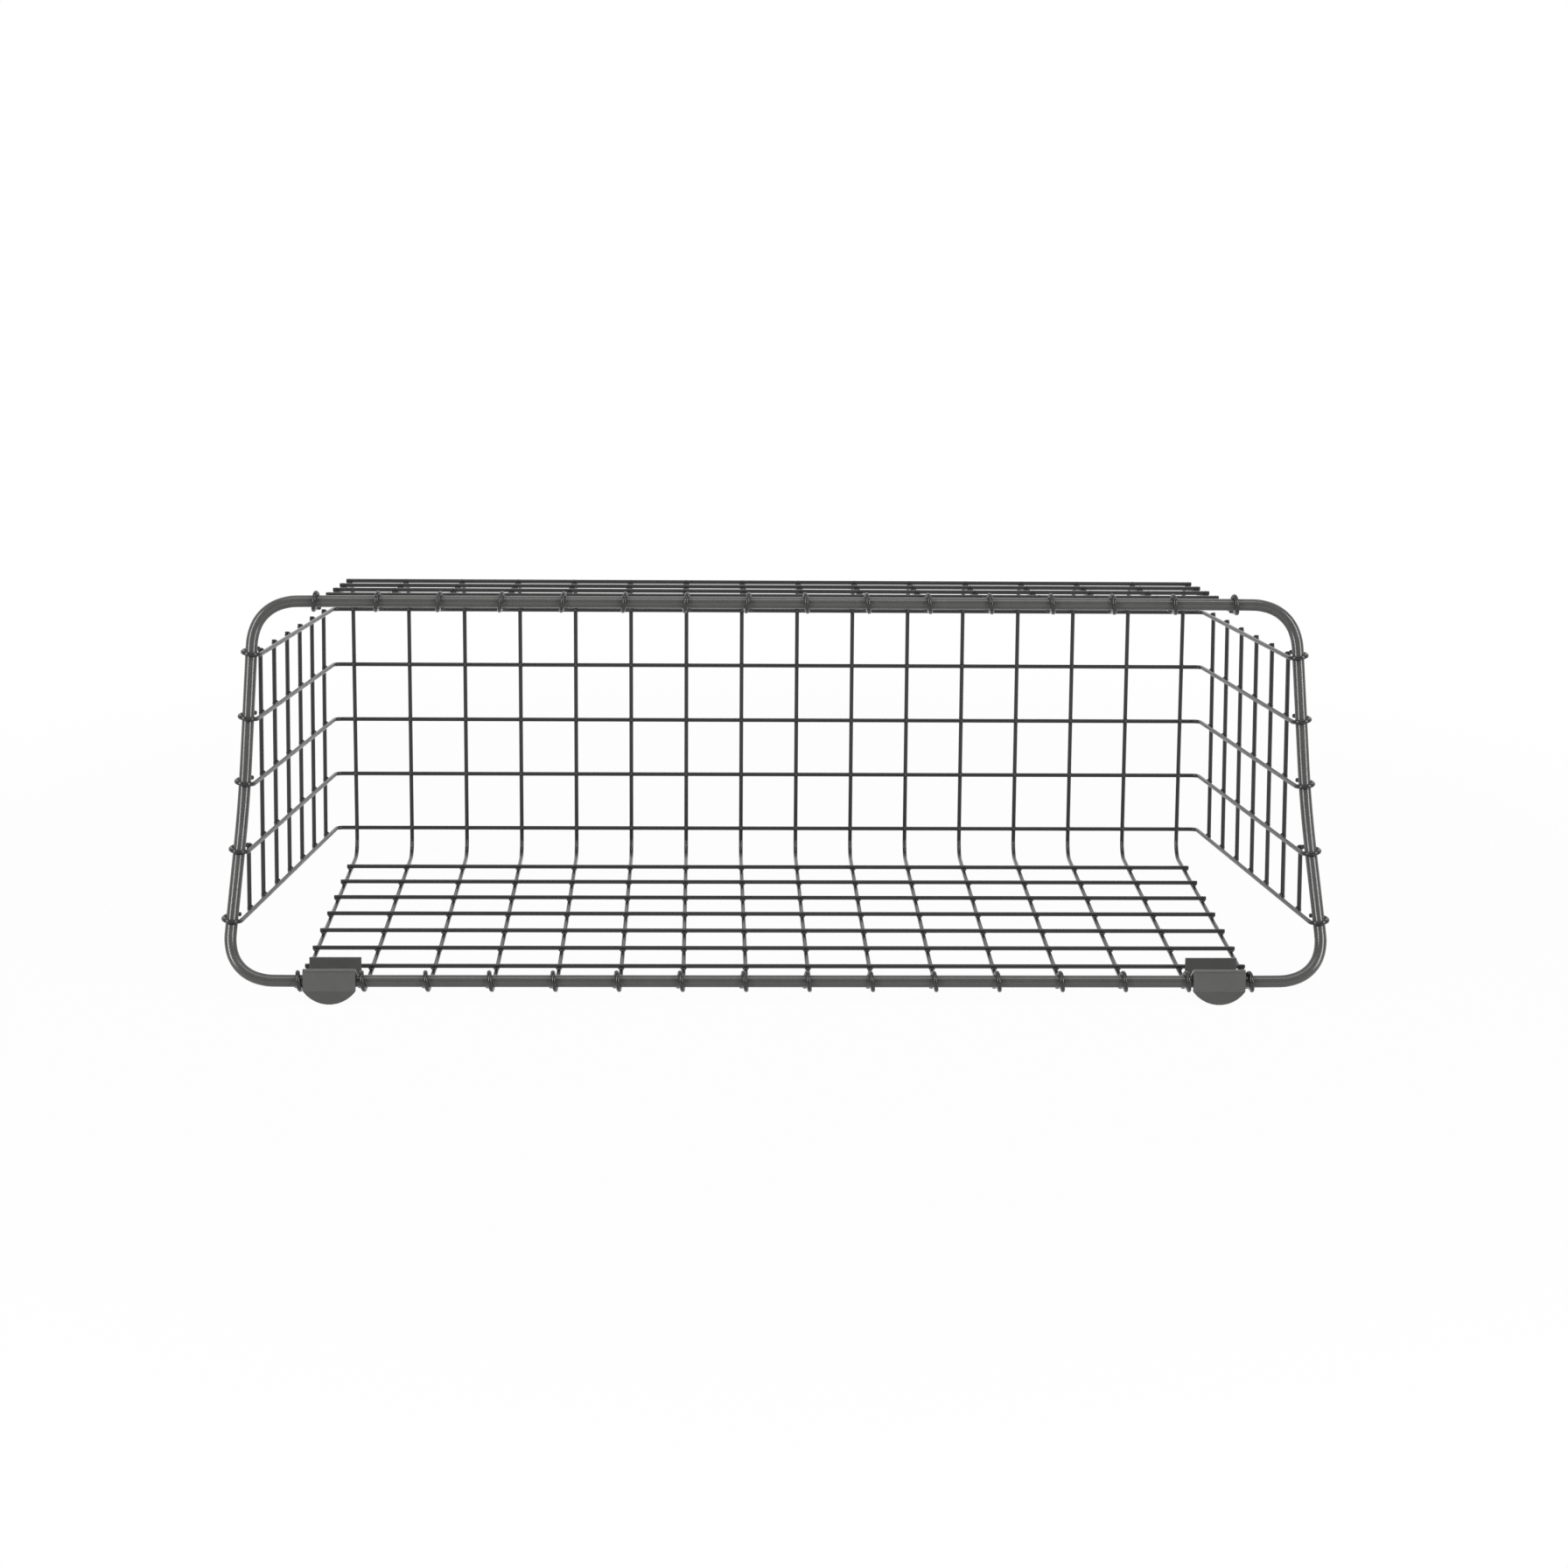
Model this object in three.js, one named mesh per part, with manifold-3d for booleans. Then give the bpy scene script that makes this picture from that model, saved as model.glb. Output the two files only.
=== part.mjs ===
import * as THREE from 'three';
import { mergeVertices } from 'three/addons/utils/BufferGeometryUtils.js';
import Module from 'manifold-3d';

// Steel wire storage basket with a slanted open mouth and two clips hanging on its lower front bar.
// Millimetres. The basket is laid out level (floor fold at the origin, mouth towards -Y, +Z up),
// then turned until it stands on the tongues of its clips and on its rear floor fold.

// Driving dimensions of the mesh
const MESH_PITCH = 25.4;
const WIRE_DIAMETER = 1.8;
const RIM_DIAMETER = 4.9;
const CROSSING_GAP = 0.2;
const WRAP_GAP = 0.3;
const WRAP_SIDE_GAP = 0.25;

const LONG_WIRE_COUNT = 16;
const HOOP_COUNT = 5;
const FLOOR_LATERAL_COUNT = 7;
const TOP_LATERAL_COUNT = 5;
const SIDE_UPRIGHT_COUNT = 7;
const FULL_HEIGHT_UPRIGHT_COUNT = 6;

// Driving dimensions of the body
const SIDE_MARGIN = 8.8;
const LOWEST_HOOP_HEIGHT = 11;
const TOP_MARGIN = 13.8;
const FIRST_FLOOR_LATERAL_DEPTH = 27;
const FIRST_TOP_LATERAL_DEPTH = 10.5;
const FIRST_UPRIGHT_DEPTH = 16.5;
const LOWER_BAR_SETBACK = 25.8;
const UPPER_BAR_SETBACK = 29.6;
const FLOOR_FALL_DEGREES = 3.82;
const TOP_RISE_DEGREES = 1.91;
const SIDE_FLARE_DEGREES = 4.8;
const HOOP_FALL_DEGREES = 0.4;
const UPRIGHT_LEAN_DEGREES = 2.4;
const WIRE_FOLD_RADIUS = 8;
const HOOP_CORNER_RADIUS = 3;
const WIRE_END_OVERHANG = 1.4;

// Driving dimensions of the rim
const RIM_CORNER_RADIUS = 16.5;
const RIM_KNEE_RADIUS = 150;
const RIM_KNEE_HEIGHT = 53;
const RIM_KNEE_SETBACK = 38.1;

// How the wires wrap round the rim
const LOWER_WRAP_DEGREES = 330;
const UPPER_WRAP_DEGREES = 330;
const HOOP_WRAP_DEGREES = 310;

// Driving dimensions of a clip, measured from the centre of the bar that carries it
const CLIP_WIDTH = 21;
const CLIP_SIDE_GAP = 0.275;
const CLIP_SHEET = 1;
const CLIP_BAR_GAP = 0.3;
const CLIP_CREST_HEIGHT = 5.5;
const CLIP_CREST_RADIUS = 0.8;
const CLIP_KINK_DROP = 3.4;
const CLIP_TONGUE_DROP = 8.6;
const CLIP_TONGUE_FLARE = 1.05;
const CLIP_WEB_DROP = 2.5;
const CLIP_WEB_BEND_RADIUS = 1.3;
const CLIP_LIP_SETBACK = 19;
const CLIP_LIP_HEIGHT = 5.3;
const CUT_OVERRUN = 2;

// Fineness of the curves
const WIRE_SIDES = 8;
const RIM_SIDES = 16;
const WRAP_STEP_DEGREES = 30;
const BEND_STEP_DEGREES = 24;
const KNEE_STEP_DEGREES = 3.2;
const CLIP_STEP_DEGREES = 20;
const TONGUE_ARC_STEPS = 11;

// Values that follow from the driving dimensions
const radians = THREE.MathUtils.degToRad;
const floorFall = radians(FLOOR_FALL_DEGREES);
const topRise = radians(TOP_RISE_DEGREES);
const sideFlare = radians(SIDE_FLARE_DEGREES);
const hoopFall = radians(HOOP_FALL_DEGREES);
const uprightLean = radians(UPRIGHT_LEAN_DEGREES);
const layerStep = WIRE_DIAMETER + CROSSING_GAP;
const wrapRadius = RIM_DIAMETER / 2 + WRAP_GAP + WIRE_DIAMETER / 2;
const wrapLead = WIRE_DIAMETER + WRAP_SIDE_GAP;
const outerPitch = CLIP_WIDTH + 2 * CLIP_SIDE_GAP + WIRE_DIAMETER + wrapLead;
const evenPitchCount = LONG_WIRE_COUNT - 3;
const innerHalfWidth = MESH_PITCH * evenPitchCount / 2;
const meshHalfWidth = innerHalfWidth + outerPitch;
const backHalfWidth = meshHalfWidth + SIDE_MARGIN;
const topHoopHeight = LOWEST_HOOP_HEIGHT + MESH_PITCH * (HOOP_COUNT - 1);
const topLateralHeight = topHoopHeight + TOP_MARGIN;
const lastFloorLateralDepth = FIRST_FLOOR_LATERAL_DEPTH + MESH_PITCH * (FLOOR_LATERAL_COUNT - 1);
const lastTopLateralDepth = FIRST_TOP_LATERAL_DEPTH + MESH_PITCH * (TOP_LATERAL_COUNT - 1);
const lowerBarDepth = lastFloorLateralDepth + LOWER_BAR_SETBACK;
const upperBarDepth = lastTopLateralDepth + UPPER_BAR_SETBACK;
const kneeDepth = lowerBarDepth - RIM_KNEE_SETBACK;

// Where a long wire stands across the basket. The outermost ones stand off far enough for a clip.
function longWireAcross(index) {
  if (index === 0) {
    return -meshHalfWidth;
  }
  if (index === LONG_WIRE_COUNT - 1) {
    return meshHalfWidth;
  }
  return MESH_PITCH * (index - 1) - innerHalfWidth;
}

// Heights of the long wires at a depth from the back wall. The laterals lie on the long wires, on
// the floor and on the top alike.
function floorWireHeight(depth) {
  return -depth * Math.tan(floorFall) - layerStep / Math.cos(floorFall);
}

function topWireHeight(depth) {
  return topLateralHeight + depth * Math.tan(topRise) - layerStep / Math.cos(topRise);
}

// Half the width between the hoops' side runs, at a depth from the back wall
function hoopHalfWidth(depth) {
  return backHalfWidth + depth * Math.tan(sideFlare);
}

function rimHalfWidth(depth) {
  return hoopHalfWidth(depth) + wrapRadius / Math.cos(sideFlare);
}

const lowerBarHeight = floorWireHeight(lowerBarDepth) + wrapRadius / Math.cos(floorFall);
const upperBarHeight = topWireHeight(upperBarDepth) + wrapRadius / Math.cos(topRise);

const paint = { color: 0x77787c, roughness: 0.42, metalness: 0.55 };
const paintedWire = new THREE.MeshStandardMaterial(paint);
const paintedSheet = new THREE.MeshStandardMaterial(paint);

// A curve that passes through its stations, one per step, with a mean direction at each. What is
// swept along it keeps one side turned towards a fixed direction, so it never twists.
class StationCurve extends THREE.Curve {
  constructor(stations, facing, closed = false) {
    super();
    this.stations = stations;
    this.facing = facing;
    this.closed = closed;
    this.steps = closed ? stations.length : stations.length - 1;
  }

  station(index) {
    const count = this.stations.length;
    if (this.closed) {
      return this.stations[(index + count) % count];
    }
    return this.stations[THREE.MathUtils.clamp(index, 0, count - 1)];
  }

  getPoint(share, target = new THREE.Vector3()) {
    return target.copy(this.station(Math.round(share * this.steps)));
  }

  getPointAt(share, target) {
    return this.getPoint(share, target);
  }

  getTangentAt(share, target = new THREE.Vector3()) {
    const index = Math.round(share * this.steps);
    const here = this.station(index);
    const arriving = here.clone().sub(this.station(index - 1)).normalize();
    const leaving = this.station(index + 1).clone().sub(here).normalize();
    return target.copy(arriving).add(leaving).normalize();
  }

  computeFrenetFrames(steps) {
    const frames = { tangents: [], normals: [], binormals: [] };
    for (let index = 0; index <= steps; index += 1) {
      const tangent = this.getTangentAt(index / steps);
      const normal = this.facing.clone().addScaledVector(tangent, -this.facing.dot(tangent)).normalize();
      frames.tangents.push(tangent);
      frames.normals.push(normal);
      frames.binormals.push(tangent.clone().cross(normal));
    }
    return frames;
  }
}

// Stations of a round bend at a corner between two straight legs
function bendStations(before, corner, after, radius, stepDegrees) {
  const arriving = corner.clone().sub(before).normalize();
  const leaving = after.clone().sub(corner).normalize();
  const turn = arriving.angleTo(leaving);
  const setback = radius * Math.tan(turn / 2);
  const start = corner.clone().addScaledVector(arriving, -setback);
  const inward = leaving.clone().sub(arriving).normalize();
  const centre = corner.clone().addScaledVector(inward, radius / Math.cos(turn / 2));
  const spoke = start.clone().sub(centre);
  const steps = Math.ceil(turn / radians(stepDegrees));
  const stations = [];
  for (let step = 0; step <= steps; step += 1) {
    const angle = turn * step / steps;
    const station = centre.clone().addScaledVector(spoke, Math.cos(angle));
    stations.push(station.addScaledVector(arriving, radius * Math.sin(angle)));
  }
  return stations;
}

// Stations of a wire's turn round a bar. The wire meets the bar on its contact side, runs forward,
// goes round and ends one wire's width along the bar from where it came in.
function wrapStations({ centre, contact, forward, barAlong, slope, degrees }) {
  const steps = Math.round(degrees / WRAP_STEP_DEGREES);
  const stations = [];
  for (let step = 0; step <= steps; step += 1) {
    const share = step / steps;
    const angle = radians(degrees) * share;
    const along = wrapRadius * slope * Math.sin(angle) + wrapLead * share;
    const station = centre.clone().addScaledVector(contact, wrapRadius * Math.cos(angle));
    station.addScaledVector(forward, wrapRadius * Math.sin(angle));
    stations.push(station.addScaledVector(barAlong, along));
  }
  return stations;
}

// An even-sided outline whose flats, not its corners, face the wires that it crosses
function roundSection(diameter, sides) {
  const outline = [];
  for (let side = 0; side < sides; side += 1) {
    const angle = (side + 1 / 2) * 2 * Math.PI / sides;
    outline.push(new THREE.Vector2(Math.cos(angle), Math.sin(angle)).multiplyScalar(diameter / 2));
  }
  return new THREE.Shape(outline);
}

function sweep(section, stations, facing) {
  const curve = new StationCurve(stations, facing);
  const settings = { steps: curve.steps, extrudePath: curve, bevelEnabled: false };
  return new THREE.ExtrudeGeometry(section, settings);
}

const wireSection = roundSection(WIRE_DIAMETER, WIRE_SIDES);
const sideways = new THREE.Vector3(1, 0, 0);
const rearward = new THREE.Vector3(0, 1, 0);
const upward = new THREE.Vector3(0, 0, 1);

// Rim: one closed loop of thick wire, with a knee in each side bar
function rimStations() {
  const corner = (side, depth, height) => new THREE.Vector3(side * rimHalfWidth(depth), -depth, height);
  const corners = [
    corner(1, upperBarDepth, upperBarHeight),
    corner(1, kneeDepth, RIM_KNEE_HEIGHT),
    corner(1, lowerBarDepth, lowerBarHeight),
    corner(-1, lowerBarDepth, lowerBarHeight),
    corner(-1, kneeDepth, RIM_KNEE_HEIGHT),
    corner(-1, upperBarDepth, upperBarHeight),
  ];
  const stations = [];
  corners.forEach((here, index) => {
    const before = corners[(index + corners.length - 1) % corners.length];
    const after = corners[(index + 1) % corners.length];
    const isKnee = here.z === RIM_KNEE_HEIGHT;
    const radius = isKnee ? RIM_KNEE_RADIUS : RIM_CORNER_RADIUS;
    const stepDegrees = isKnee ? KNEE_STEP_DEGREES : BEND_STEP_DEGREES;
    stations.push(...bendStations(before, here, after, radius, stepDegrees));
  });
  return stations;
}

const rimPath = new StationCurve(rimStations(), rearward, true);

// Where the right-hand side bar meets a hoop that leaves the back wall at a height and falls a
// little on its way forward, and which way the bar runs upward there
function sideBarAt(backHeight) {
  const riseAbove = (point) => point.z - point.y * Math.tan(hoopFall) - backHeight;
  for (let index = 0; index < rimPath.steps; index += 1) {
    const upper = rimPath.station(index);
    const lower = rimPath.station(index + 1);
    if (upper.x > 0 && riseAbove(upper) >= 0 && riseAbove(lower) < 0) {
      const share = riseAbove(upper) / (riseAbove(upper) - riseAbove(lower));
      return { centre: upper.clone().lerp(lower, share), upward: upper.clone().sub(lower).normalize() };
    }
  }
  throw new Error('the side bar ends short of a hoop');
}

function rimGeometry() {
  return new THREE.TubeGeometry(rimPath, rimPath.steps, RIM_DIAMETER / 2, RIM_SIDES, true);
}

// Long wire: wrapped round the lower bar, back along the floor, up the back wall, forward under the
// top laterals and wrapped round the upper bar. It passes under both bars. The lower turn leads to
// the left on every wire, the upper turn towards the middle of the basket.
function longWireGeometry(inwardSide) {
  const inward = new THREE.Vector3(inwardSide, 0, 0);
  const leftward = new THREE.Vector3(-1, 0, 0);
  const floorForward = new THREE.Vector3(0, -Math.cos(floorFall), -Math.sin(floorFall));
  const floorDown = new THREE.Vector3(0, Math.sin(floorFall), -Math.cos(floorFall));
  const topForward = new THREE.Vector3(0, -Math.cos(topRise), Math.sin(topRise));
  const topDown = new THREE.Vector3(0, -Math.sin(topRise), -Math.cos(topRise));
  const lowerWrap = wrapStations({
    centre: new THREE.Vector3(0, -lowerBarDepth, lowerBarHeight),
    contact: floorDown,
    forward: floorForward,
    barAlong: leftward,
    slope: 0,
    degrees: LOWER_WRAP_DEGREES,
  });
  const upperWrap = wrapStations({
    centre: new THREE.Vector3(0, -upperBarDepth, upperBarHeight),
    contact: topDown,
    forward: topForward,
    barAlong: inward,
    slope: 0,
    degrees: UPPER_WRAP_DEGREES,
  });
  const floorFold = new THREE.Vector3(0, layerStep, floorWireHeight(-layerStep));
  const topFold = new THREE.Vector3(0, layerStep, topWireHeight(-layerStep));
  const floorEnd = lowerWrap[0];
  const topEnd = upperWrap[0];
  const stations = [
    ...lowerWrap.reverse(),
    ...bendStations(floorEnd, floorFold, topFold, WIRE_FOLD_RADIUS, BEND_STEP_DEGREES),
    ...bendStations(floorFold, topFold, topEnd, WIRE_FOLD_RADIUS, BEND_STEP_DEGREES),
    ...upperWrap,
  ];
  return sweep(wireSection, stations, sideways);
}

// The end of a hoop on one side: the turn of the wire round the side bar
function hoopWrap(side, height) {
  const bar = sideBarAt(height);
  const mirror = new THREE.Vector3(side, 1, 1);
  const centre = bar.centre.multiply(mirror);
  const barAlong = bar.upward.multiply(mirror);
  const level = new THREE.Vector3(side * Math.sin(sideFlare), -Math.cos(sideFlare), 0);
  const arriving = level.setZ(-Math.tan(hoopFall)).normalize();
  const contact = new THREE.Vector3(-side * Math.cos(sideFlare), -Math.sin(sideFlare), 0);
  const forward = arriving.clone().addScaledVector(barAlong, -arriving.dot(barAlong)).normalize();
  const slope = arriving.dot(barAlong) / arriving.dot(forward);
  return wrapStations({ centre, contact, forward, barAlong, slope, degrees: HOOP_WRAP_DEGREES });
}

// Hoop: across the back wall, round both corners, forward along the sides and round the side bars
function hoopGeometry(height) {
  const leftWrap = hoopWrap(-1, height);
  const rightWrap = hoopWrap(1, height);
  const leftCorner = new THREE.Vector3(-backHalfWidth, 0, height);
  const rightCorner = new THREE.Vector3(backHalfWidth, 0, height);
  const leftEnd = leftWrap[0];
  const rightEnd = rightWrap[0];
  const stations = [
    ...leftWrap.reverse(),
    ...bendStations(leftEnd, leftCorner, rightCorner, HOOP_CORNER_RADIUS, BEND_STEP_DEGREES),
    ...bendStations(leftCorner, rightCorner, rightEnd, HOOP_CORNER_RADIUS, BEND_STEP_DEGREES),
    ...rightWrap,
  ];
  return sweep(wireSection, stations, upward);
}

// Lateral: a straight wire across the floor or the top, lying on the long wires
function lateralGeometry() {
  const reach = meshHalfWidth + WIRE_END_OVERHANG;
  const ends = [new THREE.Vector3(-reach, 0, 0), new THREE.Vector3(reach, 0, 0)];
  return sweep(wireSection, ends, upward);
}

// Upright: a straight wire up a side wall, on the outside of the hoops, leaning back a little
function uprightGeometry(side, footDepth, topHeight) {
  const pointAt = (height) => {
    const depth = footDepth - (height - LOWEST_HOOP_HEIGHT) * Math.tan(uprightLean);
    const halfWidth = hoopHalfWidth(depth) + layerStep / Math.cos(sideFlare);
    return new THREE.Vector3(side * halfWidth, -depth, height);
  };
  const hoopDrop = footDepth * Math.tan(hoopFall);
  const foot = pointAt(LOWEST_HOOP_HEIGHT - hoopDrop - WIRE_END_OVERHANG);
  const head = pointAt(topHeight - hoopDrop + WIRE_END_OVERHANG);
  return sweep(wireSection, [foot, head], sideways);
}

// Solid booleans on closed meshes
const wasm = await Module();
wasm.setup();

function toSolid(geometry) {
  const bare = geometry.clone();
  bare.deleteAttribute('normal');
  bare.deleteAttribute('uv');
  const merged = mergeVertices(bare);
  const vertProperties = new Float32Array(merged.attributes.position.array);
  const triVerts = new Uint32Array(merged.index.array);
  return new wasm.Manifold(new wasm.Mesh({ numProp: 3, vertProperties, triVerts }));
}

function toGeometry(solid) {
  const mesh = solid.getMesh();
  const geometry = new THREE.BufferGeometry();
  geometry.setAttribute('position', new THREE.BufferAttribute(mesh.vertProperties, mesh.numProp));
  geometry.setIndex(new THREE.BufferAttribute(mesh.triVerts, 1));
  geometry.computeVertexNormals();
  return geometry;
}

// The clip's middle surface seen from the side: tongue, front plate, crest, knuckle round the back
// of the bar, web and upright lip. Its first bend and its knuckle both clear the bar by one gap.
function clipStations() {
  const barOffset = RIM_DIAMETER / 2 + CLIP_BAR_GAP + CLIP_SHEET / 2;
  const point = (back, up) => new THREE.Vector3(0, back, up);
  const crestUp = CLIP_CREST_HEIGHT - CLIP_CREST_RADIUS - CLIP_SHEET / 2;
  const crestBack = CLIP_CREST_RADIUS - barOffset;
  const crestReach = Math.hypot(crestBack, crestUp);
  const slopeShare = (barOffset - CLIP_CREST_RADIUS) / crestReach;
  const normalAngle = Math.atan2(crestUp, crestBack) - Math.acos(slopeShare);
  const upOnSlope = (back) => (barOffset - back * Math.cos(normalAngle)) / Math.sin(normalAngle);
  const flareShare = CUT_OVERRUN / (CLIP_TONGUE_DROP - CLIP_KINK_DROP);
  const corners = [
    point(-barOffset - CLIP_TONGUE_FLARE * (1 + flareShare), -CLIP_TONGUE_DROP - CUT_OVERRUN),
    point(-barOffset, -CLIP_KINK_DROP),
    point(-barOffset, upOnSlope(-barOffset)),
    point(barOffset, upOnSlope(barOffset)),
    point(barOffset, -CLIP_WEB_DROP),
    point(CLIP_LIP_SETBACK, -CLIP_WEB_DROP),
    point(CLIP_LIP_SETBACK, CLIP_LIP_HEIGHT),
  ];
  const kinkRadius = CLIP_WEB_BEND_RADIUS;
  const radii = [kinkRadius, CLIP_CREST_RADIUS, barOffset, CLIP_WEB_BEND_RADIUS, CLIP_WEB_BEND_RADIUS];
  const stations = [corners[0]];
  radii.forEach((radius, index) => {
    const [before, here, after] = corners.slice(index, index + 3);
    stations.push(...bendStations(before, here, after, radius, CLIP_STEP_DEGREES));
  });
  stations.push(corners[corners.length - 1]);
  return stations;
}

// The clip's outline seen from the front: straight sides that end below in a half-round tongue
function clipOutline() {
  const halfWidth = CLIP_WIDTH / 2;
  const bulge = CLIP_TONGUE_DROP - CLIP_KINK_DROP;
  const arcRadius = (halfWidth ** 2 + bulge ** 2) / (2 * bulge);
  const arcCentreUp = arcRadius - CLIP_TONGUE_DROP;
  const halfSweep = Math.asin(halfWidth / arcRadius);
  const top = CLIP_CREST_HEIGHT + CUT_OVERRUN;
  const outline = [new THREE.Vector2(halfWidth, top), new THREE.Vector2(-halfWidth, top)];
  for (let step = 0; step <= TONGUE_ARC_STEPS; step += 1) {
    const angle = halfSweep * (2 * step / TONGUE_ARC_STEPS - 1);
    const across = arcRadius * Math.sin(angle);
    outline.push(new THREE.Vector2(across, arcCentreUp - arcRadius * Math.cos(angle)));
  }
  return new THREE.Shape(outline);
}

// Clip: a strip of sheet bent along its side profile and trimmed to its front outline
function clipGeometry() {
  const halfStrip = CLIP_WIDTH / 2 + CUT_OVERRUN;
  const halfSheet = CLIP_SHEET / 2;
  const stripSection = new THREE.Shape([
    new THREE.Vector2(-halfStrip, -halfSheet),
    new THREE.Vector2(halfStrip, -halfSheet),
    new THREE.Vector2(halfStrip, halfSheet),
    new THREE.Vector2(-halfStrip, halfSheet),
  ]);
  const strip = sweep(stripSection, clipStations(), sideways);
  const reach = CLIP_LIP_SETBACK + CUT_OVERRUN;
  const cutter = new THREE.ExtrudeGeometry(clipOutline(), { depth: 2 * reach, bevelEnabled: false });
  cutter.translate(0, 0, -reach);
  cutter.rotateX(Math.PI / 2);
  return toGeometry(toSolid(strip).intersect(toSolid(cutter)));
}

// Assembly of the level basket
const basket = new THREE.Group();

function addPiece(name, geometry, material, position = new THREE.Vector3()) {
  const piece = new THREE.Mesh(geometry, material);
  piece.name = name;
  piece.position.copy(position);
  basket.add(piece);
  return piece;
}

function twoDigits(number) {
  return String(number).padStart(2, '0');
}

addPiece('rim', rimGeometry(), paintedWire);

const longWires = { left: longWireGeometry(1), right: longWireGeometry(-1) };
for (let index = 0; index < LONG_WIRE_COUNT; index += 1) {
  const across = longWireAcross(index);
  const geometry = across < 0 ? longWires.left : longWires.right;
  addPiece(`long_wire_${twoDigits(index + 1)}`, geometry, paintedWire, new THREE.Vector3(across, 0, 0));
}

for (let index = 0; index < HOOP_COUNT; index += 1) {
  addPiece(`hoop_${index + 1}`, hoopGeometry(topHoopHeight - MESH_PITCH * index), paintedWire);
}

const lateral = lateralGeometry();
for (let index = 0; index < FLOOR_LATERAL_COUNT; index += 1) {
  const depth = FIRST_FLOOR_LATERAL_DEPTH + MESH_PITCH * index;
  const place = new THREE.Vector3(0, -depth, -depth * Math.tan(floorFall));
  addPiece(`floor_lateral_${index + 1}`, lateral, paintedWire, place);
}
for (let index = 0; index < TOP_LATERAL_COUNT; index += 1) {
  const depth = FIRST_TOP_LATERAL_DEPTH + MESH_PITCH * index;
  const place = new THREE.Vector3(0, -depth, topLateralHeight + depth * Math.tan(topRise));
  addPiece(`top_lateral_${index + 1}`, lateral, paintedWire, place);
}

const secondLowestHoopHeight = LOWEST_HOOP_HEIGHT + MESH_PITCH;
for (const [label, side] of [['left', -1], ['right', 1]]) {
  for (let index = 0; index < SIDE_UPRIGHT_COUNT; index += 1) {
    const depth = FIRST_UPRIGHT_DEPTH + MESH_PITCH * index;
    const topHeight = index < FULL_HEIGHT_UPRIGHT_COUNT ? topHoopHeight : secondLowestHoopHeight;
    addPiece(`${label}_upright_${index + 1}`, uprightGeometry(side, depth, topHeight), paintedWire);
  }
}

// Each clip hangs in an outermost gap of the mesh, between a wire and its neighbour's turned end
const clip = clipGeometry();
const outerGapMiddle = meshHalfWidth - outerPitch / 2;
for (const [label, side] of [['left', -1], ['right', 1]]) {
  const across = side * outerGapMiddle - wrapLead / 2;
  const place = new THREE.Vector3(across, -lowerBarDepth, lowerBarHeight);
  addPiece(`${label}_clip`, clip, paintedSheet, place);
}

// Lowest corner of the solids in front of, or behind, a depth
function lowestCorner(object, isWanted) {
  const lowest = new THREE.Vector3(0, 0, Infinity);
  const corner = new THREE.Vector3();
  object.updateMatrixWorld(true);
  object.traverse((piece) => {
    if (!piece.isMesh) {
      return;
    }
    const positions = piece.geometry.attributes.position;
    for (let index = 0; index < positions.count; index += 1) {
      corner.fromBufferAttribute(positions, index).applyMatrix4(piece.matrixWorld);
      if (corner.z < lowest.z && isWanted(corner)) {
        lowest.copy(corner);
      }
    }
  });
  return lowest;
}

// Turn the basket until its front feet and its rear fold are level, then put the middle of its
// footprint at the origin.
function standOnFloor(object) {
  const middle = -lowerBarDepth / 2;
  const rounds = 6;
  for (let round = 0; round < rounds; round += 1) {
    const front = lowestCorner(object, (corner) => corner.y < middle);
    const rear = lowestCorner(object, (corner) => corner.y > middle);
    object.rotation.x -= Math.atan2(rear.z - front.z, rear.y - front.y);
  }
  object.updateMatrixWorld(true);
  const box = new THREE.Box3().setFromObject(object, true);
  const centre = box.getCenter(new THREE.Vector3());
  object.position.set(-centre.x, -centre.y, -box.min.z);
}

standOnFloor(basket);

const storageBasket = new THREE.Group();
storageBasket.add(basket);

export default storageBasket;
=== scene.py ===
import math

import bmesh
import bpy
from bpy.props import FloatProperty, FloatVectorProperty, IntProperty, PointerProperty
from mathutils import Matrix, Vector
from mathutils.geometry import intersect_line_line


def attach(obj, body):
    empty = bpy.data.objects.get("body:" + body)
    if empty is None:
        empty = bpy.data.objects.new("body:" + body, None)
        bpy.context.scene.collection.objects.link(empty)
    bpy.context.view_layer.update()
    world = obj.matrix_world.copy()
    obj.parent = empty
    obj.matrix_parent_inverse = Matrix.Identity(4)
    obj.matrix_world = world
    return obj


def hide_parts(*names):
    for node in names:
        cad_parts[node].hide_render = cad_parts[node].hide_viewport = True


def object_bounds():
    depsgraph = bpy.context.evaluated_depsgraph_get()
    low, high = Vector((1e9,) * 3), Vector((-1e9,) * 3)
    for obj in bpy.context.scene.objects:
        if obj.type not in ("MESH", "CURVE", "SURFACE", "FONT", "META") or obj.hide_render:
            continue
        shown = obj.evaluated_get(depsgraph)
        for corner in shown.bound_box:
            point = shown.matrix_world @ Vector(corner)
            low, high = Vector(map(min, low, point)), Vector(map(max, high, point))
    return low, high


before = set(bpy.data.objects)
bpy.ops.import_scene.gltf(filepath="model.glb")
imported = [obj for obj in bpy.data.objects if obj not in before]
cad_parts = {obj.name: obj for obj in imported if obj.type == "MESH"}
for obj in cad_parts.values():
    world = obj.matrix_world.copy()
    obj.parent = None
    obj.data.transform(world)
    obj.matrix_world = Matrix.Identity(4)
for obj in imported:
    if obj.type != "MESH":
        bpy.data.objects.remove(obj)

bl_info = {
    "name": "Steel storage basket",
    "version": (1, 0, 0),
    "blender": (4, 5, 0),
    "location": "3D View > Sidebar > Basket",
    "description": "Rounds, welds and paints the wires and clips of a steel storage basket",
    "category": "Object",
}

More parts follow.
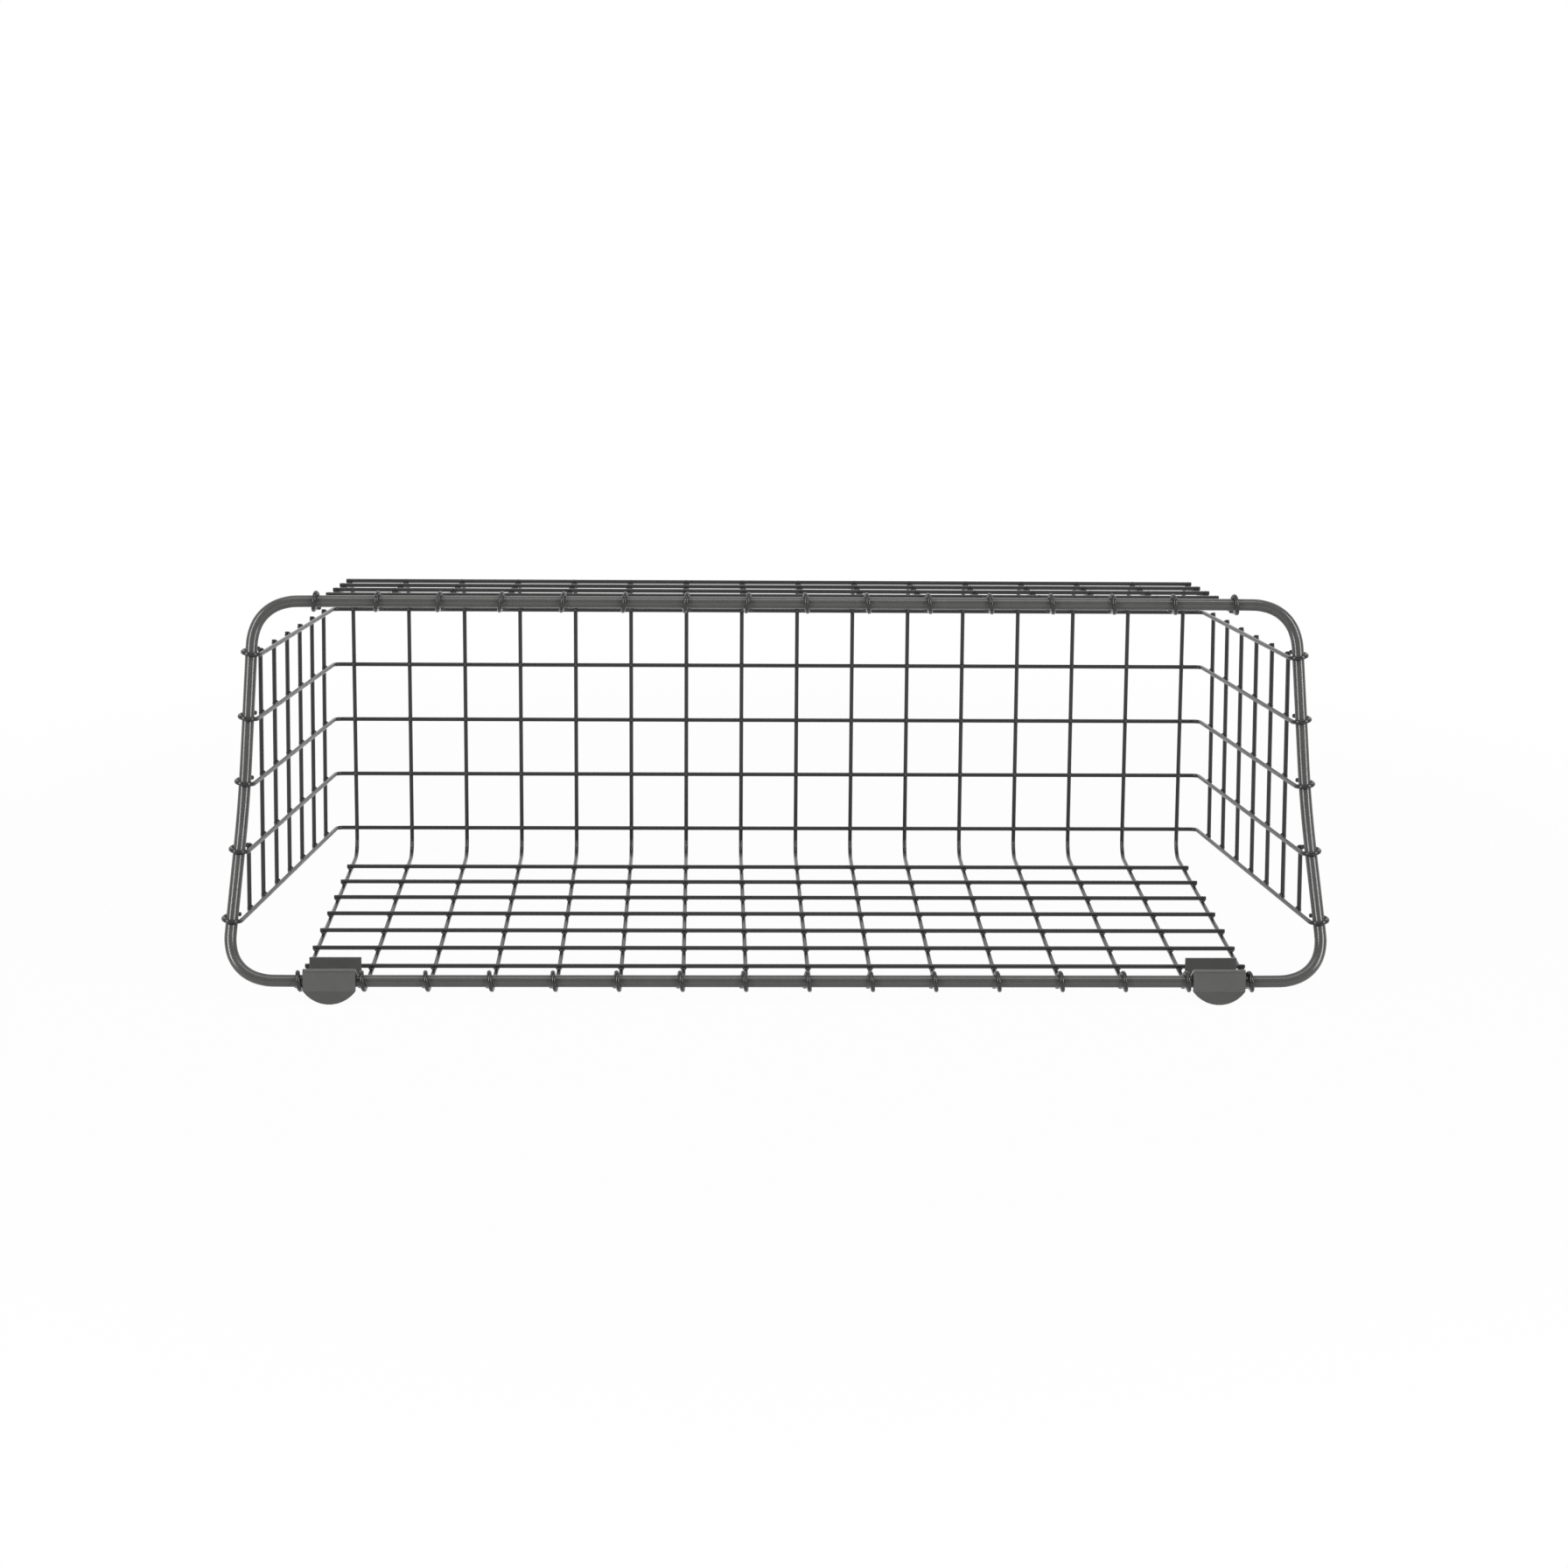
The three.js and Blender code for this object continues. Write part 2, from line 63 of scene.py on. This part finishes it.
CAD_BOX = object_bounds()
BASKET_BODY = "basket"
MM = 0.001

# The CAD wires, and how they are made round
WIRE_SIDES = 8
RIM_SIDES = 16
MERGE_DISTANCE = 0.002 * MM
LONG_SPAN_IN_DIAMETERS = 3
HOLD_IN_DIAMETERS = 0.6
FLOOR_CLEARANCE = 0.04 * MM
BEAD_SEGMENTS = 8
BEAD_RINGS = 5

# The paint's evenness, over the middle part of its mottling noise
PAINT_IOR = 1.5
MOTTLE_LOW = 0.3
MOTTLE_HIGH = 0.7
TONE_SPREAD = 0.06
GLOSS_SPREAD = 0.02
RIPPLE_STRENGTH = 0.5

# The studio in metres: each lamp's place, width and height, the right lamp standing for both sides
TOP_LAMP = ((0, -0.3, 1.4), 1.1, 0.4)
SIDE_LAMP = ((1.5, -0.95, 0.9), 0.5, 1.5)
FLOOR_HALF_WIDTH = 30
MIRRORED_BACKDROP_EDGE = 0.6

# The view of the photograph, in the basket's own level frame, and how the basket stands
PICTURE_PIXELS = 1792
FOCAL_PIXELS = 3542.13
SENSOR_MM = 36
VIEW_POINT_MM = (-30.2188, -1412.9442, 281.4549)
VIEW_PITCH = 0.174744
VIEW_YAW = 0.026452
VIEW_ROLL = 0.006988
STANDING_TILT = math.radians(-4.886753)
STANDING_OFFSET_MM = (0, 99.11789, 2.72429)

CLIP_BODIES = {"left_clip": "left_clip_body", "right_clip": "right_clip_body"}


def nodes_named(*starts):
    return sorted(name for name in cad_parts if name.startswith(starts))


LONG_WIRES = nodes_named("long_wire_")
HOOPS = nodes_named("hoop_")
LATERALS = nodes_named("floor_lateral_", "top_lateral_")
UPRIGHTS = nodes_named("left_upright_", "right_upright_")


class BasketPaint(bpy.types.PropertyGroup):
    # The rim, thin wires and clips share one paint, and their tones below are lit and shaded
    # copies of it. The thin wires' darker tone is painted shade, and it also makes up for wires
    # drawn thinner than the real ones. The clips' slightly lighter tone is painted light on their
    # flat plates.
    wire_colour: FloatVectorProperty(
        name="Wire colour", description="Paint on the thin wires", subtype="COLOR",
        size=3, min=0, max=1, default=(0.022, 0.022, 0.0223))
    rim_colour: FloatVectorProperty(
        name="Rim colour", description="Paint on the thick rim wire", subtype="COLOR",
        size=3, min=0, max=1, default=(0.070, 0.069, 0.0675))
    sheet_colour: FloatVectorProperty(
        name="Sheet colour", description="Paint on the two clips", subtype="COLOR",
        size=3, min=0, max=1, default=(0.080, 0.079, 0.0775))
    # The marks' tone, lighter than the wires' paint, is a painted highlight where the flattened
    # spots catch the light.
    mark_colour: FloatVectorProperty(
        name="Mark colour", description="Thin paint over the spots that the weld tips left",
        subtype="COLOR", size=3, min=0, max=1, default=(0.05, 0.0495, 0.049))
    roughness: FloatProperty(
        name="Roughness", description="Mean roughness of the satin paint",
        subtype="FACTOR", min=0, max=1, default=0.2)
    mottle_size: FloatProperty(
        name="Mottle size", description="Width of the faint lighter and darker areas",
        unit="LENGTH", default=9 * MM)
    grain_size: FloatProperty(
        name="Grain size", description="Width of the ripples in the baked paint",
        unit="LENGTH", default=0.7 * MM)
    grain_depth: FloatProperty(
        name="Grain depth", description="Depth of the ripples in the baked paint",
        unit="LENGTH", default=0.003 * MM)


class BasketShape(bpy.types.PropertyGroup):
    rounding: IntProperty(
        name="Rounding", description="Subdivision levels that make the wires round",
        min=1, max=3, default=2)
    wire_diameter: FloatProperty(
        name="Wire diameter", description="Thickness of the thin wires",
        unit="LENGTH", default=1.8 * MM)
    rim_diameter: FloatProperty(
        name="Rim diameter", description="Thickness of the rim wire",
        unit="LENGTH", default=4.9 * MM)
    weld_reach: FloatProperty(
        name="Weld reach", description="Greatest distance between welded wires' middles",
        unit="LENGTH", default=2.3 * MM)
    weld_width: FloatProperty(
        name="Weld width", description="Width of the metal squeezed out at a crossing",
        unit="LENGTH", default=2.7 * MM)
    weld_thickness: FloatProperty(
        name="Weld thickness", description="Thickness of the metal between two wires",
        unit="LENGTH", default=1.4 * MM)
    mark_width: FloatProperty(
        name="Mark width", description="Width of the spot that the welding tip leaves on a wire",
        unit="LENGTH", default=1.05 * MM)
    mark_height: FloatProperty(
        name="Mark height", description="How far the spot's paint stands proud of the wire",
        unit="LENGTH", default=0.07 * MM)
    sheet_edge: FloatProperty(
        name="Sheet edge", description="Radius of the clips' painted edges",
        unit="LENGTH", default=0.22 * MM)


class BasketStage(bpy.types.PropertyGroup):
    floor_colour: FloatVectorProperty(
        name="Floor colour", description="Colour of the studio floor", subtype="COLOR",
        size=3, min=0, max=1, default=(0.6, 0.6, 0.6))
    floor_glow: FloatProperty(
        name="Floor glow", description="Share of plain white that the camera sees in the floor",
        subtype="FACTOR", min=0, max=1, default=0.965)
    shadow_reach: FloatProperty(
        name="Shadow reach", description="How far from the middle the floor keeps its shade",
        unit="LENGTH", min=0.1, default=0.32)
    world_strength: FloatProperty(
        name="World strength", description="Strength of the light from all round",
        min=0, default=0.18)
    top_power: FloatProperty(
        name="Top lamp", description="Power of the soft lamp above", subtype="POWER",
        unit="POWER", default=5)
    side_power: FloatProperty(
        name="Side lamps", description="Power of each soft lamp at the sides",
        subtype="POWER", unit="POWER", default=28)


def merged_copy(node):
    """A bmesh of a CAD solid with its loose triangles joined at their corners."""
    shape = bmesh.new()
    shape.from_mesh(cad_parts[node].data)
    bmesh.ops.remove_doubles(shape, verts=shape.verts, dist=MERGE_DISTANCE)
    return shape


def quad_tube(node, diameter, sides):
    """A bmesh of a CAD wire as rings of quads, with one face at each cut end.

    Every ring edge is one chord of the section long. Of a triangle's two longer sides,
    the one that only splits a quad is the flatter."""
    longer_than_ring = 1.2 * diameter * math.sin(math.pi / sides)
    flat_angle = math.radians(1)
    shape = merged_copy(node)

    def flattest_side(face):
        long_sides = [side for side in face.edges if side.calc_length() > longer_than_ring]
        return min(long_sides, key=lambda side: side.calc_face_angle(0))

    splits = [
        edge for edge in shape.edges
        if edge.calc_length() > longer_than_ring
        and (edge.calc_face_angle(0) < flat_angle
             or all(flattest_side(face) == edge for face in edge.link_faces))
    ]
    bmesh.ops.dissolve_edges(shape, edges=splits, use_verts=False)
    if any(len(face.verts) not in (4, sides) for face in shape.faces):
        raise RuntimeError(f"{node} isn't made of rings of quads")
    return shape


def hold_straight(shape, diameter):
    """Put a ring near both ends of every long span, so that rounding leaves the span straight
    and the bend beside it as tight as it is."""
    hold = HOLD_IN_DIAMETERS * diameter
    longer_than = LONG_SPAN_IN_DIAMETERS * diameter
    spans = [edge for edge in shape.edges if edge.calc_length() > longer_than]
    cut = bmesh.ops.subdivide_edges(shape, edges=spans, cuts=2, use_grid_fill=True)
    added = {part for part in cut["geom_inner"] if isinstance(part, bmesh.types.BMVert)}
    for vert in added:
        end = next(edge.other_vert(vert) for edge in vert.link_edges
                   if edge.other_vert(vert) not in added)
        vert.co = end.co + (vert.co - end.co).normalized() * hold


def clear_floor(shape):
    """Lift a wire's lowest corners, because the round wire bulges past the CAD wire's flat
    sides and would leave the CAD box where it rests on the floor."""
    lowest = CAD_BOX[0][2] + FLOOR_CLEARANCE
    for vert in shape.verts:
        vert.co.z = max(vert.co.z, lowest)


def finish_mesh(shape, name, material):
    """An object of a bmesh, which is freed, with one material."""
    mesh = bpy.data.meshes.new(name)
    shape.to_mesh(mesh)
    shape.free()
    mesh.materials.append(material)
    piece = bpy.data.objects.new(name, mesh)
    bpy.context.scene.collection.objects.link(piece)
    return piece


def round_wire(node, diameter, sides, material, levels):
    """A truly round wire that follows the CAD wire, with flat cut ends."""
    shape = quad_tube(node, diameter, sides)
    hold_straight(shape, diameter)
    clear_floor(shape)
    crease = shape.edges.layers.float.new("crease_edge")
    for face in shape.faces:
        face.smooth = True
        if len(face.edges) == sides:
            for edge in face.edges:
                edge[crease] = 1
                edge.smooth = False
    piece = finish_mesh(shape, f"round_{node}", material)
    rounding = piece.modifiers.new("rounding", "SUBSURF")
    rounding.levels = levels
    rounding.render_levels = levels
    fullness = piece.modifiers.new("full_width", "DISPLACE")
    fullness.mid_level = 0
    # The share of its radius by which subdivision draws a ring of this many sides in
    drawn_in = 1 - (2 + math.cos(2 * math.pi / sides)) / 3
    fullness.strength = diameter / 2 * drawn_in
    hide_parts(node)
    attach(piece, BASKET_BODY)


def straight_runs(node, diameter):
    """The middle lines of a wire's straight runs, as pairs of points."""
    shortest = 12 * MM
    same_run = 3 * MM
    shape = quad_tube(node, diameter, WIRE_SIDES)
    runs = []
    for edge in shape.edges:
        if edge.calc_length() < shortest:
            continue
        ends = sorted((vert.co.copy() for vert in edge.verts), key=lambda point: sum(point))
        middle = (ends[0] + ends[1]) / 2
        for run in runs:
            if (run["middle"] - middle).length < same_run:
                run["ends"].append(ends)
                break
        else:
            runs.append({"middle": middle, "ends": [ends]})
    shape.free()
    lines = []
    for run in runs:
        count = len(run["ends"])
        start = sum((ends[0] for ends in run["ends"]), Vector()) / count
        stop = sum((ends[1] for ends in run["ends"]), Vector()) / count
        lines.append((start, stop))
    return lines


def is_on_line(point, line):
    start, stop = line
    share = (point - start).dot(stop - start) / (stop - start).length_squared
    return 0 <= share <= 1


def crossings(diameter, reach):
    """Where two wires' straight runs pass each other, and the step from one to the other."""
    lines = []
    for node in LONG_WIRES + HOOPS + LATERALS + UPRIGHTS:
        lines.extend((node, line) for line in straight_runs(node, diameter))
    found = []
    for index, (node, line) in enumerate(lines):
        for other_node, other in lines[index + 1:]:
            met = node != other_node and intersect_line_line(*line, *other)
            if not met:
                continue
            here, there = met
            near = (there - here).length < reach
            if near and is_on_line(here, line) and is_on_line(there, other):
                found.append((here, there))
    return found


def paint(name, colour, settings, roughness):
    """Satin baked paint: faint mottling, a little unevenness in its gloss, fine ripples."""
    material = bpy.data.materials.new(name)
    material.use_nodes = True
    tree = material.node_tree
    tree.nodes.clear()
    node = tree.nodes.new
    link = tree.links.new
    place = node("ShaderNodeTexCoord")

    mottle = node("ShaderNodeTexNoise")
    mottle.inputs["Scale"].default_value = 1 / settings.mottle_size
    mottle.inputs["Detail"].default_value = 4
    mottle.inputs["Roughness"].default_value = 0.6
    link(place.outputs["Object"], mottle.inputs["Vector"])

    tone = node("ShaderNodeValToRGB")
    darker, lighter = tone.color_ramp.elements
    darker.position = MOTTLE_LOW
    lighter.position = MOTTLE_HIGH
    darker.color = (*(channel * (1 - TONE_SPREAD) for channel in colour), 1)
    lighter.color = (*(channel * (1 + TONE_SPREAD) for channel in colour), 1)
    link(mottle.outputs["Fac"], tone.inputs["Fac"])

    gloss = node("ShaderNodeMapRange")
    gloss.inputs["From Min"].default_value = MOTTLE_LOW
    gloss.inputs["From Max"].default_value = MOTTLE_HIGH
    gloss.inputs["To Min"].default_value = roughness - GLOSS_SPREAD
    gloss.inputs["To Max"].default_value = roughness + GLOSS_SPREAD
    link(mottle.outputs["Fac"], gloss.inputs["Value"])

    grain = node("ShaderNodeTexNoise")
    grain.inputs["Scale"].default_value = 1 / settings.grain_size
    grain.inputs["Detail"].default_value = 2
    link(place.outputs["Object"], grain.inputs["Vector"])

    ripple = node("ShaderNodeBump")
    ripple.inputs["Strength"].default_value = RIPPLE_STRENGTH
    ripple.inputs["Distance"].default_value = settings.grain_depth
    link(grain.outputs["Fac"], ripple.inputs["Height"])

    shader = node("ShaderNodeBsdfPrincipled")
    shader.inputs["Metallic"].default_value = 0
    shader.inputs["IOR"].default_value = PAINT_IOR
    link(tone.outputs["Color"], shader.inputs["Base Color"])
    link(gloss.outputs["Result"], shader.inputs["Roughness"])
    link(ripple.outputs["Normal"], shader.inputs["Normal"])

    result = node("ShaderNodeOutputMaterial")
    link(shader.outputs["BSDF"], result.inputs["Surface"])
    return material


def painted(kind):
    """The paint of one kind of piece, made once. The kinds' tones are lit and shaded copies of one
    paint.
    """
    settings = bpy.context.scene.basket_paint
    name = f"{kind}_paint"
    if name not in bpy.data.materials:
        colour = getattr(settings, f"{kind}_colour")
        paint(name, colour, settings, settings.roughness)
    return bpy.data.materials[name]


class BASKET_OT_rim(bpy.types.Operator):
    """Make the thick rim wire round"""

    bl_idname = "basket.rim"
    bl_label = "Rim"

    def execute(self, context):
        shape = context.scene.basket_shape
        round_wire("rim", shape.rim_diameter, RIM_SIDES, painted("rim"), shape.rounding)
        return {"FINISHED"}


class BASKET_OT_thin_wires(bpy.types.Operator):
    """Make the long wires, hoops, laterals and uprights round"""

    bl_idname = "basket.thin_wires"
    bl_label = "Thin wires"

    def execute(self, context):
        shape = context.scene.basket_shape
        for node in LONG_WIRES + HOOPS + LATERALS + UPRIGHTS:
            round_wire(node, shape.wire_diameter, WIRE_SIDES, painted("wire"), shape.rounding)
        return {"FINISHED"}


def beads(name, places, width, thickness, material):
    """One piece of flattened beads, each at a place and flat to a direction."""
    ball = bmesh.new()
    bmesh.ops.create_uvsphere(ball, u_segments=BEAD_SEGMENTS, v_segments=BEAD_RINGS, radius=1)
    for face in ball.faces:
        face.smooth = True
    pattern = bpy.data.meshes.new("bead_pattern")
    ball.to_mesh(pattern)
    ball.free()
    size = Matrix.Diagonal((width / 2, width / 2, thickness / 2, 1))
    together = bmesh.new()
    for place, across in places:
        turn = across.to_track_quat("Z", "Y").to_matrix().to_4x4()
        bead = pattern.copy()
        bead.transform(Matrix.Translation(place) @ turn @ size)
        together.from_mesh(bead)
        bpy.data.meshes.remove(bead)
    bpy.data.meshes.remove(pattern)
    piece = finish_mesh(together, name, material)
    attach(piece, BASKET_BODY)


class BASKET_OT_welds(bpy.types.Operator):
    """Fill each crossing of two thin wires with its weld, and mark where the tips pressed in a
    lighter tone that is a painted highlight
    """

    bl_idname = "basket.welds"
    bl_label = "Welds"

    def execute(self, context):
        shape = context.scene.basket_shape
        spots = crossings(shape.wire_diameter, shape.weld_reach)
        if not spots:
            raise RuntimeError("no wires were found crossing")
        middles = [((here + there) / 2, there - here) for here, there in spots]
        beads("spot_welds", middles, shape.weld_width, shape.weld_thickness, painted("wire"))
        # A mark is a lens of which a quarter of the thickness shows
        thickness = 4 * shape.mark_height
        sunk = shape.wire_diameter / 2 + shape.mark_height - thickness / 2
        pressed = []
        for here, there in spots:
            outward = (there - here).normalized()
            pressed.append((here - outward * sunk, outward))
            pressed.append((there + outward * sunk, outward))
        # The marks are painted lighter than the wires, as a painted highlight on the flattened
        # spots.
        beads("weld_marks", pressed, shape.mark_width, thickness, painted("mark"))
        return {"FINISHED"}


class BASKET_OT_clips(bpy.types.Operator):
    """Round the painted edges of the two bent sheet clips"""

    bl_idname = "basket.clips"
    bl_label = "Clips"

    def execute(self, context):
        shape = context.scene.basket_shape
        flat_angle = math.radians(2)
        edge_angle = math.radians(40)
        for node, body in CLIP_BODIES.items():
            sheet = merged_copy(node)
            bmesh.ops.dissolve_limit(
                sheet, angle_limit=flat_angle, use_dissolve_boundaries=False,
                verts=sheet.verts, edges=sheet.edges)
            edges = [
                edge for edge in sheet.edges
                if edge.calc_face_angle(0) > edge_angle
            ]
            bmesh.ops.bevel(
                sheet, geom=edges, offset=shape.sheet_edge, affect="EDGES",
                segments=3, profile=0.5, material=-1)
            for face in sheet.faces:
                face.smooth = True
            piece = finish_mesh(sheet, f"edged_{node}", painted("sheet"))
            even_shading = piece.modifiers.new("even_shading", "WEIGHTED_NORMAL")
            even_shading.mode = "FACE_AREA"
            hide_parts(node)
            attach(piece, body)
        return {"FINISHED"}


def add_lamp(name, place, width, height, power):
    """A soft rectangular lamp that points at the basket."""
    data = bpy.data.lights.new(name, "AREA")
    data.shape = "RECTANGLE"
    data.size = width
    data.size_y = height
    data.energy = power
    lamp = bpy.data.objects.new(name, data)
    bpy.context.scene.collection.objects.link(lamp)
    lamp.location = place
    lamp.rotation_euler = (-Vector(place)).to_track_quat("-Z", "Y").to_euler()


def white_behind(tree, plain_shader, white_shader, camera_share=None, mirrored_share=None):
    """A plain shader that the camera and mirrored rays see as wholly or partly plain white."""
    def combined(operation, first, second):
        made = tree.nodes.new("ShaderNodeMath")
        made.operation = operation
        tree.links.new(first, made.inputs[0])
        tree.links.new(second, made.inputs[1])
        return made.outputs[0]

    path = tree.nodes.new("ShaderNodeLightPath")
    mirrored = combined("MAXIMUM", path.outputs["Is Glossy Ray"],
                        path.outputs["Is Transmission Ray"])
    seen = path.outputs["Is Camera Ray"]
    if camera_share:
        seen = combined("MULTIPLY", seen, camera_share)
    if mirrored_share:
        mirrored = combined("MULTIPLY", mirrored, mirrored_share)
    white = tree.nodes.new(white_shader)
    white.inputs["Color"].default_value = (1, 1, 1, 1)
    mix = tree.nodes.new("ShaderNodeMixShader")
    tree.links.new(combined("MAXIMUM", seen, mirrored), mix.inputs["Fac"])
    tree.links.new(plain_shader, mix.inputs[1])
    tree.links.new(white.outputs[0], mix.inputs[2])
    return mix.outputs[0]


def add_floor(settings):
    """A matt floor that turns plain white beyond the reach of the basket's shadow."""
    slab = bmesh.new()
    bmesh.ops.create_grid(slab, x_segments=1, y_segments=1, size=FLOOR_HALF_WIDTH)
    material = bpy.data.materials.new("studio_floor")
    material.use_nodes = True
    tree = material.node_tree
    tree.nodes.clear()
    matt = tree.nodes.new("ShaderNodeBsdfDiffuse")
    matt.inputs["Color"].default_value = (*settings.floor_colour, 1)
    place = tree.nodes.new("ShaderNodeTexCoord")
    distance = tree.nodes.new("ShaderNodeVectorMath")
    distance.operation = "LENGTH"
    tree.links.new(place.outputs["Object"], distance.inputs[0])
    glow = tree.nodes.new("ShaderNodeMapRange")
    glow.interpolation_type = "SMOOTHSTEP"
    glow.inputs["From Min"].default_value = settings.shadow_reach
    glow.inputs["From Max"].default_value = 2 * settings.shadow_reach
    glow.inputs["To Min"].default_value = settings.floor_glow
    glow.inputs["To Max"].default_value = 1
    tree.links.new(distance.outputs["Value"], glow.inputs["Value"])
    result = tree.nodes.new("ShaderNodeOutputMaterial")
    share = glow.outputs["Result"]
    surface = white_behind(tree, matt.outputs[0], "ShaderNodeEmission", share, share)
    tree.links.new(surface, result.inputs["Surface"])
    finish_mesh(slab, "studio_floor", material)


def add_world(settings):
    """Even light from all round, seen as white by the camera and, behind the basket, mirrored."""
    world = bpy.data.worlds.new("studio")
    world.use_nodes = True
    tree = world.node_tree
    tree.nodes.clear()
    light = tree.nodes.new("ShaderNodeBackground")
    light.inputs["Color"].default_value = (1, 1, 1, 1)
    light.inputs["Strength"].default_value = settings.world_strength
    result = tree.nodes.new("ShaderNodeOutputWorld")
    direction = tree.nodes.new("ShaderNodeTexCoord")
    parts = tree.nodes.new("ShaderNodeSeparateXYZ")
    tree.links.new(direction.outputs["Generated"], parts.inputs[0])
    backdrop = tree.nodes.new("ShaderNodeMapRange")
    backdrop.interpolation_type = "SMOOTHSTEP"
    backdrop.inputs["From Min"].default_value = 0
    backdrop.inputs["From Max"].default_value = MIRRORED_BACKDROP_EDGE
    tree.links.new(parts.outputs["Y"], backdrop.inputs["Value"])
    surface = white_behind(tree, light.outputs[0], "ShaderNodeBackground",
                           mirrored_share=backdrop.outputs["Result"])
    tree.links.new(surface, result.inputs["Surface"])
    bpy.context.scene.world = world


def add_camera():
    """A camera that sees the standing basket as the photograph does."""
    forward = Vector((
        math.sin(VIEW_YAW) * math.cos(VIEW_PITCH),
        math.cos(VIEW_YAW) * math.cos(VIEW_PITCH),
        -math.sin(VIEW_PITCH)))
    level_right = Vector((math.cos(VIEW_YAW), -math.sin(VIEW_YAW), 0))
    level_up = level_right.cross(forward)
    right = level_right * math.cos(VIEW_ROLL) + level_up * math.sin(VIEW_ROLL)
    up = right.cross(forward)
    turn = Matrix((right, up, -forward)).transposed().to_4x4()
    stand = Matrix.Translation(Vector(STANDING_OFFSET_MM) * MM)
    stand @= Matrix.Rotation(STANDING_TILT, 4, "X")
    data = bpy.data.cameras.new("camera")
    data.sensor_width = SENSOR_MM
    data.lens = FOCAL_PIXELS / PICTURE_PIXELS * SENSOR_MM
    data.clip_start = 10 * MM
    camera = bpy.data.objects.new("camera", data)
    bpy.context.scene.collection.objects.link(camera)
    camera.matrix_world = stand @ Matrix.Translation(Vector(VIEW_POINT_MM) * MM) @ turn
    bpy.context.scene.camera = camera


class BASKET_OT_stage(bpy.types.Operator):
    """Set up the pale floor, the soft lamps and the camera"""

    bl_idname = "basket.stage"
    bl_label = "Stage"

    def execute(self, context):
        settings = context.scene.basket_stage
        add_floor(settings)
        add_world(settings)
        add_lamp("top_lamp", *TOP_LAMP, settings.top_power)
        (across, back, up), width, height = SIDE_LAMP
        for name, side in (("left_lamp", -1), ("right_lamp", 1)):
            add_lamp(name, (side * across, back, up), width, height, settings.side_power)
        add_camera()
        context.scene.view_settings.view_transform = "Standard"
        return {"FINISHED"}


class BASKET_PT_sidebar(bpy.types.Panel):
    """Sizes, colours and steps of the basket"""

    bl_idname = "BASKET_PT_sidebar"
    bl_label = "Steel storage basket"
    bl_space_type = "VIEW_3D"
    bl_region_type = "UI"
    bl_category = "Basket"

    def draw(self, context):
        layout = self.layout
        for group in ("basket_shape", "basket_paint", "basket_stage"):
            settings = getattr(context.scene, group)
            for name in settings.bl_rna.properties.keys():
                if name not in ("rna_type", "name"):
                    layout.prop(settings, name)
        for operator in OPERATORS:
            layout.operator(operator.bl_idname)


OPERATORS = (
    BASKET_OT_rim,
    BASKET_OT_thin_wires,
    BASKET_OT_welds,
    BASKET_OT_clips,
    BASKET_OT_stage,
)
GROUPS = {"basket_paint": BasketPaint, "basket_shape": BasketShape, "basket_stage": BasketStage}
CLASSES = (*GROUPS.values(), *OPERATORS, BASKET_PT_sidebar)


def register():
    for item in CLASSES:
        bpy.utils.register_class(item)
    for name, group in GROUPS.items():
        setattr(bpy.types.Scene, name, PointerProperty(type=group))


def unregister():
    for name in GROUPS:
        delattr(bpy.types.Scene, name)
    for item in reversed(CLASSES):
        bpy.utils.unregister_class(item)


def main():
    register()
    bpy.ops.basket.rim()
    bpy.ops.basket.thin_wires()
    bpy.ops.basket.welds()
    bpy.ops.basket.clips()
    bpy.ops.basket.stage()


if __name__ == "__main__":
    main()
